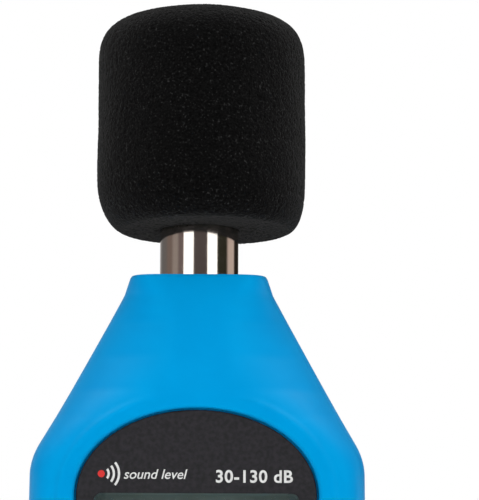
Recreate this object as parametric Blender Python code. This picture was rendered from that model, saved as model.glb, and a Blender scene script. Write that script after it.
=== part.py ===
"""Hand-held sound level meter with a foam windscreen, a half-inch microphone and a two-shell case.

The meter stands on its bottom end: the origin is the centre of that end, +Z runs up the microphone's
axis, and the display and keys face -Y. Sizes are millimetres until MM turns them into metres.
Run with: blender --background --python part.py
"""

import math

import bmesh
import bpy
import numpy as np
from mathutils import Matrix, Vector

MM = 0.001

# Driving dimensions
GAP = 0.3                    # clearance between pieces that touch
CASE_HEIGHT = 115.4
CASE_HALF_WIDTH = 26.45
CASE_HALF_DEPTH = 14.0
WALL = 2.2
PARTING_GAP = 0.15           # each shell stops this far from the mid-plane
MIC_RADIUS = 6.35            # half-inch measuring microphone
MIC_TOP = 141.3
SCREEN_BOTTOM = 122.7
SCREEN_TOP = 159.2
SCREEN_RADIUS = 17.0
PLATE_HALF_WIDTH = 18.65
PLATE_TOP = 93.7
PLATE_SHOULDER = 80.4          # where its arch meets its sides
PLATE_BOTTOM = 13.0
KEY_TRAVEL = 1.0
CELL_RADIUS = 5.25
CELL_PITCH = 11.3
CELL_AXIS_Y = 6.6

# Planes across the thickness, front to back
PLATE_FRONT, PLATE_BACK = -13.4, -12.7
RECESS_FLOOR = -12.4
FRONT_INSIDE = -11.2
REAR_INSIDE = 12.0
BOARD_FRONT, BOARD_BACK = -5.9, -4.3
BAY_FRONT, BAY_FLOOR = -0.3, 0.9
COVER_INSIDE = 12.2
REBATE_FLOOR = 11.9

# Display window, battery bay and cover, as low and high corners in X and Z
WINDOW = (15.9, 57.0, 80.8)
BAY = (17.6, 12.0, 61.0)
COVER = (19.0, 12.5, 71.5)
HOOKS = [(-11.0, -8.0), (8.0, 11.0)]        # the cover's two hooks, in X

KEYS = {                     # name: (x, z, cap radius)
    "hold_key": (-11.6, 43.5, 4.4),
    "power_key": (0.0, 33.0, 5.6),
    "range_key": (11.6, 43.5, 4.4),
}
CASE_SCREWS = [(-15.0, 7.5), (15.0, 7.5), (-16.5, 87.0), (16.5, 87.0)]
BOARD_SCREWS = [(-19.7, 19.0), (19.7, 19.0), (-20.4, 78.5), (20.4, 78.5)]
TRIPOD_Z = 80.0
COVER_SCREW_Z = 67.5
TRIMMER_X, TRIMMER_Z = -13.0, 76.0

ALONG_Y = Matrix.Rotation(math.radians(-90), 4, "X")     # turns +Z to +Y

FINISHES = {                 # name: (sRGB hex, metallic, roughness)
    "blue_abs": ("0097DE", 0.0, 0.42),
    "black_overlay": ("2A292E", 0.0, 0.5),
    "foam": ("121212", 0.0, 0.95),
    "nickel": ("C9C2BA", 1.0, 0.12),
    "brass": ("B8923F", 1.0, 0.3),
    "steel": ("A9ABAD", 1.0, 0.3),
    "clear_acrylic": ("DDE6E6", 0.0, 0.05),
    "display_glass": ("54605A", 0.0, 0.12),
    "white_plastic": ("E6E6E2", 0.0, 0.4),
    "grey_rubber": ("3C4046", 0.0, 0.7),
    "black_rubber": ("17171A", 0.0, 0.75),
    "board_green": ("1F5B36", 0.0, 0.45),
    "chip_black": ("1B1B1D", 0.0, 0.5),
    "cell_jacket": ("2F6B5A", 0.0, 0.35),
    "red_wire": ("B5201D", 0.0, 0.4),
    "black_wire": ("161616", 0.0, 0.4),
}


# ---------------------------------------------------------------- general tools

def linear(channel):
    return channel / 12.92 if channel <= 0.04045 else ((channel + 0.055) / 1.055) ** 2.4


def material(finish):
    """The Principled material of a named finish, made once."""
    if finish in bpy.data.materials:
        return bpy.data.materials[finish]
    code, metallic, roughness = FINISHES[finish]
    colour = [linear(int(code[i:i + 2], 16) / 255) for i in (0, 2, 4)]
    made = bpy.data.materials.new(finish)
    made.use_nodes = True
    shader = made.node_tree.nodes["Principled BSDF"]
    shader.inputs["Base Color"].default_value = (*colour, 1.0)
    shader.inputs["Metallic"].default_value = metallic
    shader.inputs["Roughness"].default_value = roughness
    return made


def piece(name, shape, finish, origin=(0.0, 0.0, 0.0)):
    """Turns a bmesh drawn in millimetres into a named object whose origin is at the given point."""
    bmesh.ops.recalc_face_normals(shape, faces=shape.faces)
    bmesh.ops.translate(shape, vec=-Vector(origin), verts=shape.verts)
    bmesh.ops.scale(shape, vec=(MM, MM, MM), verts=shape.verts)
    mesh = bpy.data.meshes.new(name)
    shape.to_mesh(mesh)
    shape.free()
    mesh.shade_smooth()
    mesh.set_sharp_from_angle(angle=math.radians(35))
    made = bpy.data.objects.new(name, mesh)
    made.location = Vector(origin) * MM
    if finish:
        mesh.materials.append(material(finish))
    bpy.context.scene.collection.objects.link(made)
    return made


def copies(name, shape, finish, spots):
    """The same piece at several spots: one mesh, and a numbered object for each spot."""
    first = piece(f"{name}_1", shape, finish)
    placed = [first] + [bpy.data.objects.new(f"{name}_{i}", first.data) for i in range(2, len(spots) + 1)]
    for each, spot in zip(placed, spots):
        each.location = Vector(spot) * MM
        if each is not first:
            bpy.context.scene.collection.objects.link(each)
    return placed


def helper(name, shape):
    """A hidden object that only shapes others."""
    made = piece(name, shape, None)
    made.hide_render = True
    made.display_type = "WIRE"
    return made


def boolean(target, shape, operation):
    """Adds a live Boolean with a hidden helper, which is either a bmesh or a helper made earlier."""
    if isinstance(shape, bmesh.types.BMesh):
        shape = helper(f"{target.name}_{operation.lower()}_{len(target.modifiers)}", shape)
    modifier = target.modifiers.new(operation.title(), "BOOLEAN")
    modifier.operation = operation
    modifier.solver = "EXACT"
    modifier.object = shape


# ---------------------------------------------------------------- shapes, each added to a bmesh

def add_box(shape, low, high):
    size = Vector(high) - Vector(low)
    centre = (Vector(high) + Vector(low)) / 2
    bmesh.ops.create_cube(shape, size=1.0, matrix=Matrix.Translation(centre) @ Matrix.Diagonal((*size, 1.0)))


def add_rod(shape, x, z, radius, y_low, y_high, sides=24):
    """A round rod that runs along Y."""
    place = Matrix.Translation((x, (y_low + y_high) / 2, z)) @ ALONG_Y
    bmesh.ops.create_cone(shape, cap_ends=True, segments=sides, radius1=radius, radius2=radius,
                          depth=y_high - y_low, matrix=place)


def add_bore(shape, x, z, steps, sides=20):
    """A stepped round cutter along Y, from (radius, where it starts) steps; it ends behind the case."""
    ends = [y for _, y in steps[1:]] + [20.0]
    profile = [(0, steps[0][1])]
    for (radius, start), end in zip(steps, ends):
        profile += [(radius, start), (radius, end)]
    add_turned(shape, profile + [(0, 20.0)], Matrix.Translation((x, 0, z)) @ ALONG_Y, sides)


def add_turned(shape, profile, place, sides=32):
    """Spins a profile of (radius, height) round its own axis, then moves it by a matrix."""
    rim = [shape.verts.new((radius, 0.0, height)) for radius, height in profile]
    edges = [shape.edges.new(pair) for pair in zip(rim, rim[1:])]
    if profile[0][0] > 0.001:
        edges.append(shape.edges.new((rim[-1], rim[0])))
    before = set(shape.verts) - set(rim)
    bmesh.ops.spin(shape, geom=rim + edges, cent=(0, 0, 0), axis=(0, 0, 1), angle=math.tau,
                   steps=sides, use_merge=True)
    turned = [v for v in shape.verts if v not in before]
    bmesh.ops.remove_doubles(shape, verts=turned, dist=0.0005)
    turned = [v for v in shape.verts if v not in before]
    bmesh.ops.transform(shape, matrix=place, verts=turned)


def add_prism(shape, outline, y_low, y_high):
    """Extrudes an outline of (x, z) points along Y."""
    face = shape.faces.new([shape.verts.new((x, y_low, z)) for x, z in outline])
    swept = bmesh.ops.extrude_face_region(shape, geom=[face])
    moved = [v for v in swept["geom"] if isinstance(v, bmesh.types.BMVert)]
    bmesh.ops.translate(shape, vec=(0, y_high - y_low, 0), verts=moved)


def add_loft(shape, sections):
    """Skins closed sections that have the same number of points, caps both ends, and makes it all triangles."""
    rings = [[shape.verts.new(point) for point in section] for section in sections]
    for below, above in zip(rings, rings[1:]):
        for i in range(len(below)):
            j = (i + 1) % len(below)
            shape.faces.new((below[i], below[j], above[j], above[i]))
    shape.faces.new(rings[0][::-1])
    shape.faces.new(rings[-1])
    bmesh.ops.triangulate(shape, faces=shape.faces[:])


def made(adder, *values, **options):
    """A new bmesh that holds one added shape."""
    shape = bmesh.new()
    adder(shape, *values, **options)
    return shape


def rounded_box(half_width, z_low, z_high, radius, steps=3):
    """The outline of a rectangle with round corners, centred on X = 0."""
    corners = [(half_width - radius, z_high - radius, 0), (radius - half_width, z_high - radius, 90),
               (radius - half_width, z_low + radius, 180), (half_width - radius, z_low + radius, 270)]
    return [(x + radius * math.cos(a), z + radius * math.sin(a)) for x, z, start in corners
            for a in (math.radians(start + 90 * i / steps) for i in range(steps + 1))]


def arc(centre, radius, start, stop, steps):
    """Points on an arc, with angles in degrees."""
    angles = [math.radians(start + (stop - start) * i / steps) for i in range(steps + 1)]
    return [(centre[0] + radius * math.cos(a), centre[1] + radius * math.sin(a)) for a in angles]


def filleted(corners, steps=4):
    """A line through corners of (u, z, radius), with each inner corner rounded to its radius."""
    points = [corners[0][:2]]
    for before, corner, after in zip(corners, corners[1:], corners[2:]):
        here = Vector(corner[:2])
        back = (Vector(before[:2]) - here).normalized()
        on = (Vector(after[:2]) - here).normalized()
        half_angle = back.angle(on) / 2
        reach = corner[2] / math.tan(half_angle)
        centre = here + (back + on).normalized() * (corner[2] / math.sin(half_angle))
        start, stop = here + back * reach - centre, here + on * reach - centre
        turn = start.angle_signed(stop)
        points += [tuple(centre + Matrix.Rotation(-turn * i / steps, 2) @ start) for i in range(steps + 1)]
    return points + [corners[-1][:2]]


def tube(name, route, radius, finish, resolution=2):
    """Round wire along a route."""
    curve = bpy.data.curves.new(name, "CURVE")
    curve.dimensions = "3D"
    curve.bevel_depth = radius * MM
    curve.bevel_resolution = resolution
    curve.use_fill_caps = True
    spline = curve.splines.new("POLY")
    spline.points.add(len(route) - 1)
    for point, place in zip(spline.points, route):
        point.co = (*(Vector(place) * MM), 1.0)
    curve.materials.append(material(finish))
    made_tube = bpy.data.objects.new(name, curve)
    bpy.context.scene.collection.objects.link(made_tube)
    return made_tube


def smooth_route(stations, steps=3):
    """A Catmull-Rom curve through the stations."""
    points = [Vector(p) for p in stations]
    points = [2 * points[0] - points[1], *points, 2 * points[-1] - points[-2]]
    route = []
    for a, b, c, d in zip(points, points[1:], points[2:], points[3:]):
        for i in range(steps):
            t = i / steps
            route.append(0.5 * (2 * b + (c - a) * t + (2 * a - 5 * b + 4 * c - d) * t ** 2
                                + (3 * b - a - 3 * c + d) * t ** 3))
    return route + [points[-2]]


# ---------------------------------------------------------------- the case's form

OUTER_SIDE = filleted([(0, 0, 0), (24.4, 0, 11.0), (CASE_HALF_WIDTH, 56, 60.0), (CASE_HALF_WIDTH, 86.3, 10.0),
                       (11.96, 112.6, 2.0), (11.05, CASE_HEIGHT - 0.25, 0.25), (10.85, CASE_HEIGHT, 0)])[1:]
OUTER_FRONT = filleted([(0, 0, 0), (CASE_HALF_DEPTH, 0, 4.0), (CASE_HALF_DEPTH, 95.0, 30.0),
                        (8.6, CASE_HEIGHT - 0.25, 0.25), (8.4, CASE_HEIGHT, 0)])[1:]
OUTER_BACK = filleted([(0, 0, 0), (CASE_HALF_DEPTH, 0, 4.0), (CASE_HALF_DEPTH, 91.5, 30.0),
                       (8.6, CASE_HEIGHT - 0.25, 0.25), (8.4, CASE_HEIGHT, 0)])[1:]
INNER_TOP = 109.5
INNER_SIDE = filleted([(0, WALL, 0), (22.2, WALL, 8.8), (24.45, 56, 60.0), (24.45, 85.5, 9.0),
                       (11.7, 108.0, 1.0), (11.4, INNER_TOP, 0)])[1:]
INNER_FRONT = filleted([(0, WALL, 0), (-FRONT_INSIDE, WALL, 2.0), (-FRONT_INSIDE, 94.0, 25.0),
                        (8.1, INNER_TOP, 0)])[1:]
INNER_BACK = filleted([(0, WALL, 0), (REAR_INSIDE, WALL, 2.0), (REAR_INSIDE, 90.5, 25.0), (8.1, INNER_TOP, 0)])[1:]


def width_at(line, z):
    return float(np.interp(z, [p[1] for p in line], [p[0] for p in line]))


# The front of a slice at a height: the share of its half-width that is flat, and how square the curve is
# from there to the side. It is square in the body, slopes away in the shoulders and fills out to the neck's rim.
FRONT_FORM = [(80.0, 0.64, 5.0), (84.0, 0.62, 4.6), (87.3, 0.56, 3.6), (92.8, 0.42, 2.4), (97.0, 0.26, 1.95),
              (102.4, 0.18, 1.75), (108.0, 0.18, 1.8), (112.0, 0.24, 2.3), (CASE_HEIGHT, 0.32, 3.6)]


def front_form(z):
    heights, flats, squares = zip(*FRONT_FORM)
    return float(np.interp(z, heights, flats)), float(np.interp(z, heights, squares))


def section(z, side, front, back, back_square, count=32):
    """One closed slice of the case at height z: its back half is a superellipse, and its front has a flat."""
    width = width_at(side, z)
    flat, front_square = front_form(z)
    back_power = 2 / float(np.interp(z, [86.0, 112.0], [back_square, 7.0]))
    points = []
    for i in range(count):
        angle = math.tau * (i + 0.5) / count
        across, along = math.cos(angle), math.sin(angle)
        if along > 0:
            x, y = width * abs(across) ** back_power, width_at(back, z) * along ** back_power
        else:
            x = width * (flat + (1 - flat) * abs(across) ** (2 / front_square))
            y = -width_at(front, z) * (-along) ** (2 / front_square)
        points.append((math.copysign(x, across), y, z))
    return points


def levels(lines, spacing=1.0):
    """The heights of all the lines' points, thinned to a least spacing, with both ends kept."""
    heights = sorted(p[1] for line in lines for p in line)
    kept = [heights[0]]
    for z in heights[1:]:
        if z - kept[-1] >= spacing:
            kept.append(z)
    if heights[-1] - kept[-1] > 0.01:
        kept[-1 if heights[-1] - kept[-1] < spacing / 2 else len(kept):] = [heights[-1]]
    return kept


def case_solid(lines, back_square, spacing):
    shape = bmesh.new()
    add_loft(shape, [section(z, *lines, back_square) for z in levels(lines, spacing)])
    return shape


def outer_case():
    return case_solid((OUTER_SIDE, OUTER_FRONT, OUTER_BACK), 5.0, 1.3)


def plate_outline(grow=0.0, steps=14):
    """The face plate: half an ellipse on top, and sides that taper to a shallower one at the foot."""
    foot, foot_half_width = 23.0, 16.2
    upper = [((PLATE_HALF_WIDTH + grow) * math.cos(a),
              PLATE_SHOULDER + (PLATE_TOP - PLATE_SHOULDER + grow) * math.sin(a))
             for a in (math.pi * i / steps for i in range(steps + 1))]
    lower = [((foot_half_width + grow) * math.cos(a), foot + (foot - PLATE_BOTTOM + grow) * math.sin(a))
             for a in (math.pi + math.pi * i / steps for i in range(steps + 1))]
    return upper + lower


# ---------------------------------------------------------------- case

def build_front_shell(inner, outer_mesh):
    shell = piece("front_shell", outer_mesh, "blue_abs")
    boolean(shell, inner, "DIFFERENCE")
    boolean(shell, made(add_box, (-40, -PARTING_GAP, -10), (40, 40, 130)), "DIFFERENCE")
    posts = bmesh.new()
    for x, z in CASE_SCREWS:
        add_rod(posts, x, z, 2.8, -11.9, 6.2, 20)
    for x, z in BOARD_SCREWS:
        add_rod(posts, x, z, 1.8, -11.9, BOARD_FRONT - GAP, 16)
    boolean(shell, posts, "UNION")
    cuts = bmesh.new()
    add_prism(cuts, plate_outline(GAP), -20.0, RECESS_FLOOR)
    boolean(shell, cuts, "DIFFERENCE")
    holes = bmesh.new()
    add_prism(holes, rounded_box(WINDOW[0] + 0.5, WINDOW[1] - 0.5, WINDOW[2] + 0.5, 1.5), -16.0, -8.0)
    for x, z, radius in KEYS.values():
        add_rod(holes, x, z, radius + 0.4, -16.0, -8.0)
    for x, z in CASE_SCREWS:
        add_rod(holes, x, z, 1.4, -7.5, 8.0, 12)
    for x, z in BOARD_SCREWS:
        add_rod(holes, x, z, 1.0, -10.6, -4.0, 12)
    boolean(shell, holes, "DIFFERENCE")
    boolean(shell, microphone_hole(), "DIFFERENCE")


def microphone_hole():
    profile = [(0, 105), (MIC_RADIUS + GAP, 105), (MIC_RADIUS + GAP, 125), (0, 125)]
    return made(add_turned, profile, Matrix.Identity(4))


def build_rear_shell(inner, outer_mesh):
    shell = piece("rear_shell", outer_mesh, "blue_abs")
    boolean(shell, inner, "DIFFERENCE")
    boolean(shell, made(add_box, (-40, -40, -10), (40, PARTING_GAP, 130)), "DIFFERENCE")
    bay = made(add_box, (-19.0, BAY_FRONT, 10.8), (19.0, 11.0, 62.2))
    boolean(shell, bay, "UNION")
    boolean(shell, made(add_box, (-20.6, 10.6, 7.4), (20.6, 12.6, 72.0)), "UNION")
    bosses = bmesh.new()
    for x, z in CASE_SCREWS:
        add_rod(bosses, x, z, 3.6, 6.5, 12.8, 20)
    add_rod(bosses, 0, TRIPOD_Z, 6.4, 5.9, 12.9, 28)
    add_rod(bosses, 0, COVER_SCREW_Z, 5.4, 4.9, 11.4, 24)
    boolean(shell, bosses, "UNION")
    cavity = made(add_box, (-BAY[0], BAY_FLOOR, BAY[1]), (BAY[0], 20.0, BAY[2]))
    boolean(shell, cavity, "DIFFERENCE")
    rebate = made(add_prism, rounded_box(COVER[0] + GAP, COVER[1] - GAP, COVER[2] + GAP, 3.3), REBATE_FLOOR, 20.0)
    boolean(shell, rebate, "DIFFERENCE")
    holes = bmesh.new()
    for x, z in CASE_SCREWS:
        add_bore(holes, x, z, [(1.4, 5.0), (2.9, 8.0)])
    add_bore(holes, 0, TRIPOD_Z, [(4.8, 6.6)], 28)
    add_bore(holes, 0, COVER_SCREW_Z, [(2.55, 5.5), (4.2, 10.6)])
    add_bore(holes, TRIMMER_X, TRIMMER_Z, [(1.5, 5.0)], 12)
    for left, right in HOOKS:
        add_box(holes, (left - 0.3, 9.8, COVER[1] - 2.1), (right + 0.3, 12.1, COVER[1] + 4.1))
    for x, z in ((-11.3, 60.3), (11.3, 12.7)):     # ways through the bay's floor for the cell contacts' tabs
        add_box(holes, (x - 2.0, -2.0, z - 0.9), (x + 2.0, 2.0, z + 0.9))
    boolean(shell, holes, "DIFFERENCE")
    boolean(shell, microphone_hole(), "DIFFERENCE")


def build_face():
    plate = bmesh.new()
    add_prism(plate, plate_outline(steps=20), PLATE_FRONT, PLATE_BACK)
    overlay = piece("face_plate", plate, "black_overlay")
    cuts = bmesh.new()
    add_prism(cuts, rounded_box(WINDOW[0], WINDOW[1], WINDOW[2], 1.2), -16.0, -10.0)
    for x, z, radius in KEYS.values():
        add_rod(cuts, x, z, radius + 0.4, -16.0, -10.0)
    boolean(overlay, cuts, "DIFFERENCE")
    lens = made(add_prism, rounded_box(WINDOW[0] - GAP, WINDOW[1] + GAP, WINDOW[2] - GAP, 1.0), -13.3, -12.6)
    piece("display_lens", lens, "clear_acrylic")


# ---------------------------------------------------------------- display, board and keypad

def build_display():
    frame = made(add_box, (-18.3, -10.9, 53.0), (18.3, BOARD_FRONT - GAP, 83.2))
    frame = piece("display_frame", frame, "white_plastic")
    boolean(frame, made(add_box, (-17.1, -20.0, 54.2), (17.1, 0.0, 82.0)), "DIFFERENCE")
    piece("display_glass", made(add_box, (-16.8, -10.9, 54.5), (16.8, -8.9, 81.7)), "display_glass")
    piece("backlight_guide", made(add_box, (-16.8, -8.6, 57.4), (16.8, BOARD_FRONT - GAP, 81.7)), "white_plastic")
    piece("zebra_strip", made(add_box, (-16.0, -8.6, 54.8), (16.0, BOARD_FRONT - GAP, 56.9)), "grey_rubber")


def build_board():
    board = piece("main_board", made(add_box, (-22.1, BOARD_FRONT, 15.0), (22.1, BOARD_BACK, 83.2)), "board_green")
    holes = bmesh.new()
    for x, z in BOARD_SCREWS:
        add_rod(holes, x, z, 1.2, -8.0, -2.0, 12)
    boolean(board, holes, "DIFFERENCE")
    top = BOARD_BACK + GAP
    piece("controller_chip", made(add_box, (-5.0, top, 38.0), (5.0, top + 1.4, 48.0)), "chip_black")
    piece("amplifier_chip", made(add_box, (-2.0, top, 73.0), (3.0, top + 1.3, 77.0)), "chip_black")
    piece("timing_crystal", made(add_box, (8.5, top, 41.0), (12.0, top + 2.4, 49.5)), "steel")
    can = made(add_rod, 0, 0, 2.1, 0, 5.0, 16)
    copies("filter_capacitor", can, "chip_black", [(9.0, top, 76.0), (14.5, top, 76.0)])
    dome = made(add_turned, [(0, 0), (2.6, 0), (2.6, 0.12), (1.6, 0.35), (0, 0.45)], ALONG_Y.inverted(), 16)
    copies("key_dome", dome, "steel", [(x, BOARD_FRONT - GAP, z) for x, z, _ in KEYS.values()])


def build_keypad():
    web = piece("keypad_web", made(add_prism, rounded_box(18.2, 24.5, 50.6, 4.0), -10.9, -10.1), "grey_rubber")
    holes = bmesh.new()
    for x, z, radius in KEYS.values():
        add_rod(holes, x, z, radius + 1.2, -14.0, -8.0)
    boolean(web, holes, "DIFFERENCE")
    for name, (x, z, radius) in KEYS.items():
        # a cap with a round edge, a flange that stays behind the shell and a stem
        profile = [(0, 0), (1.9, 0), (1.9, 2.2), (radius + 0.9, 2.2), (radius + 0.9, 2.9), (radius, 2.9)]
        profile += arc((radius - 0.8, 5.9), 0.8, 0, 70, 3) + [(0, 6.75)]
        origin = (x, -8.2, z)
        key = made(add_turned, profile, Matrix.Translation(origin) @ ALONG_Y.inverted(), 22)
        piece(name, key, "grey_rubber", origin)


def build_trimmer():
    centre_y = BOARD_BACK + GAP
    body = made(add_box, (TRIMMER_X - 3.2, centre_y, TRIMMER_Z - 3.2), (TRIMMER_X + 3.2, centre_y + 3.4, TRIMMER_Z + 3.2))
    body = piece("trimmer_body", body, "white_plastic")
    boolean(body, made(add_rod, TRIMMER_X, TRIMMER_Z, 1.3, centre_y + 0.8, 8.0, 16), "DIFFERENCE")
    origin = (TRIMMER_X, centre_y + 3.7, TRIMMER_Z)
    profile = [(0, -2.4), (1.0, -2.4), (1.0, 0), (2.3, 0), (2.3, 1.2), (0, 1.2)]
    rotor = piece("trimmer_rotor", made(add_turned, profile, Matrix.Translation(origin) @ ALONG_Y, 20), "brass", origin)
    slot = made(add_box, (TRIMMER_X - 3, origin[1] + 0.6, TRIMMER_Z - 0.35), (TRIMMER_X + 3, origin[1] + 3, TRIMMER_Z + 0.35))
    boolean(rotor, slot, "DIFFERENCE")


# ---------------------------------------------------------------- microphone and windscreen

def build_microphone():
    upright = Matrix.Identity(4)
    outer, inner = MIC_RADIUS, 5.5
    tube_profile = [(inner, 100), (7.4, 100), (7.4, 101.2), (outer, 101.2), (outer, 138.2), (inner, 138.2)]
    piece("mic_barrel", made(add_turned, tube_profile, upright), "nickel")
    rounding = arc((outer - 0.7, MIC_TOP - 0.7), 0.7, 0, 90, 2)
    cap = [(inner, 138.5), (outer, 138.5), *rounding, (0, MIC_TOP), (0, MIC_TOP - 0.8), (inner, MIC_TOP - 0.8)]
    grid = bmesh.new()
    add_turned(grid, [(0, MIC_TOP - 0.8), (inner, MIC_TOP - 0.8), *cap[:-3], (0, MIC_TOP)], upright)
    piece("mic_grid", grid, "nickel")
    piece("mic_capsule", made(add_turned, [(0, 131.5), (5.2, 131.5), (5.2, 138.9), (0, 138.9)], upright, 24), "steel")
    boot = [(outer + GAP, 103.0), (7.7, 103.0), (7.7, 109.1), (outer + GAP, 109.1)]
    piece("mic_boot", made(add_turned, boot, upright, 28), "black_rubber")
    for name, x, finish in (("mic_lead_signal", -1.6, "red_wire"), ("mic_lead_shield", 1.6, "black_wire")):
        land = 1.9 * x
        stations = [(x, 0, 131.1), (x, 0, 116), (x, 0.2, 101), (1.4 * x, 0.9, 94), (1.8 * x, 0.2, 88),
                    (land, -2.4, 83.4), (land, -3.45, 79.4)]
        tube(name, smooth_route(stations), 0.5, finish)


def windscreen_profile():
    """From the crown down: a flat crown with a full shoulder, a near-straight side and an elliptical foot."""
    bore = MIC_RADIUS + GAP
    crown_radius, crown_height, fullness = 16.7, 9.3, 2 / 3.4
    foot_width, foot_height = 4.0, 8.3
    crown = []
    for angle in (math.radians(90 - 90 * i / 8) for i in range(9)):
        crown.append((crown_radius * max(math.cos(angle), 0) ** fullness,
                      SCREEN_TOP - crown_height * (1 - max(math.sin(angle), 0) ** fullness)))
    foot = [(SCREEN_RADIUS - foot_width * (1 - math.cos(a)), SCREEN_BOTTOM + foot_height * (1 - math.sin(a)))
            for a in (math.radians(18 * i) for i in range(6))]
    crown[0] = (0, SCREEN_TOP)
    return crown + foot + [(bore, SCREEN_BOTTOM), (bore, MIC_TOP + GAP), (0, MIC_TOP + GAP)]


def build_windscreen():
    origin = (0, 0, SCREEN_BOTTOM)
    profile = windscreen_profile()
    piece("windscreen", made(add_turned, profile, Matrix.Identity(4)), "foam", origin)


# ---------------------------------------------------------------- battery bay

def build_cells():
    profile = [(0, 0), (CELL_RADIUS - 0.4, 0), (CELL_RADIUS, 0.4), (CELL_RADIUS, 42.6),
               (CELL_RADIUS - 0.4, 43.0), (1.9, 43.0), (1.9, 44.0), (0, 44.0)]
    spots = [(-CELL_PITCH, CELL_AXIS_Y, 16.0), (0, CELL_AXIS_Y, 57.0), (CELL_PITCH, CELL_AXIS_Y, 16.0)]
    cells = copies("cell", made(add_turned, profile, Matrix.Identity(4), 20), "cell_jacket", spots)
    cells[1].rotation_euler.x = math.pi


def build_contacts():
    low, high = CELL_AXIS_Y - 4.0, CELL_AXIS_Y + 3.0
    top, bottom, sheet = 60.3, 12.3, 0.4
    for name, z, left, right in (("terminal_plus", top, -15.8, -6.8), ("bridge_top", top, -4.5, 15.8),
                                 ("bridge_bottom", bottom, -15.8, 4.5), ("terminal_minus", bottom, 6.8, 15.8)):
        contact = piece(name, made(add_box, (left, low, z), (right, high, z + sheet)), "nickel")
        if name.startswith("terminal"):
            middle = (left + right) / 2
            tab = made(add_box, (middle - 1.5, -1.8, z), (middle + 1.5, low + 0.5, z + sheet))
            boolean(contact, tab, "UNION")
    turns, steps = 2.5, 8
    for i, base, rise in ((0, 13.25, 2.2), (1, 59.75, -2.2), (2, 13.25, 2.2)):
        coil = []
        for k in range(int(turns * steps) + 1):
            share = k / (turns * steps)
            radius, angle = 2.7 - 1.2 * share, math.tau * turns * share
            coil.append(((i - 1) * CELL_PITCH + radius * math.cos(angle), CELL_AXIS_Y + radius * math.sin(angle),
                         base + rise * share))
        tube(f"cell_spring_{i + 1}", coil, 0.22, "nickel", 1)
    red = [(-11.3, -2.5, 60.6), (-12.4, -2.9, 62.6), (-13.6, -3.3, 65.5), (-14.0, -3.45, 68.0)]
    black = [(11.3, -2.5, 12.6), (12.6, -2.6, 15.0), (13.8, -3.2, 18.0), (14.0, -3.45, 21.0)]
    tube("battery_lead_red", smooth_route(red), 0.5, "red_wire")
    tube("battery_lead_black", smooth_route(black), 0.5, "black_wire")


def build_cover(outer_mesh):
    """The battery cover is cut from the case's own form, so its back follows the rear shell."""
    hinge = (0, 13.9, COVER[1])
    cover = piece("battery_cover", outer_mesh, "blue_abs", hinge)
    block = made(add_prism, rounded_box(COVER[0], COVER[1], COVER[2], 3.0), COVER_INSIDE, 20.0)
    boolean(cover, block, "INTERSECT")
    necks, hooks = bmesh.new(), bmesh.new()
    for left, right in HOOKS:
        add_box(necks, (left, 11.0, COVER[1] + 0.3), (right, 13.0, COVER[1] + 2.0))
        add_box(hooks, (left + 0.1, 10.5, COVER[1] - 1.7), (right - 0.1, 11.6, COVER[1] + 1.8))
    boolean(cover, necks, "UNION")
    boolean(cover, hooks, "UNION")
    boolean(cover, made(add_rod, 0, COVER_SCREW_Z, 3.6, 10.95, 12.9, 20), "UNION")
    boolean(cover, made(add_bore, 0, COVER_SCREW_Z, [(1.4, 9.0), (2.8, 12.1)]), "DIFFERENCE")
    place = Matrix.Translation((0, 13.7, COVER_SCREW_Z)) @ ALONG_Y.inverted()
    screw = [(0, 0), (2.4, 0), (2.4, 1.2), (1.1, 1.2), (1.1, 6.2), (0, 6.2)]
    piece("cover_screw", made(add_turned, screw, place, 20), "steel", hinge)


def build_fasteners():
    insert = [(1.6, 5.8), (2.25, 5.8), (2.25, 10.3), (1.6, 10.3)]
    piece("cover_insert", made(add_turned, insert, Matrix.Translation((0, 0, COVER_SCREW_Z)) @ ALONG_Y, 20), "brass")
    socket = [(2.6, 6.9), (4.5, 6.9), (4.5, 13.7), (3.2, 13.7), (2.6, 13.1)]
    piece("tripod_insert", made(add_turned, socket, Matrix.Translation((0, 0, TRIPOD_Z)) @ ALONG_Y, 28), "brass")
    screw = made(add_turned, [(0, 1.6), (2.4, 1.6), (2.4, 0), (1.1, 0), (1.1, -12.4), (0, -13.3)], ALONG_Y, 16)
    copies("case_screw", screw, "steel", [(x, 8.3, z) for x, z in CASE_SCREWS])
    screw = made(add_turned, [(0, 1.2), (1.7, 1.2), (1.7, 0), (0.7, 0), (0.7, -5.0), (0, -5.6)], ALONG_Y, 12)
    copies("board_screw", screw, "steel", [(x, BOARD_BACK + GAP, z) for x, z in BOARD_SCREWS])


def build():
    for old in list(bpy.data.objects):
        bpy.data.objects.remove(old)
    inner = helper("case_inside", case_solid((INNER_SIDE, INNER_FRONT, INNER_BACK), 6.0, 3.0))
    build_front_shell(inner, outer_case())
    build_rear_shell(inner, outer_case())
    build_face()
    build_display()
    build_board()
    build_keypad()
    build_trimmer()
    build_microphone()
    build_windscreen()
    build_cells()
    build_contacts()
    build_cover(outer_case())
    build_fasteners()


build()
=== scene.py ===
"""A hand-held sound level meter with a foam windscreen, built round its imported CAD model.

Each section makes one piece of the meter, or one group of like pieces, in the order in which a maker
puts the meter together. Sizes inside the sections are millimetres, and MM turns them into metres.
"""

import math

import bmesh
import bpy
import numpy as np
from mathutils import Matrix, Vector, noise


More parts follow.
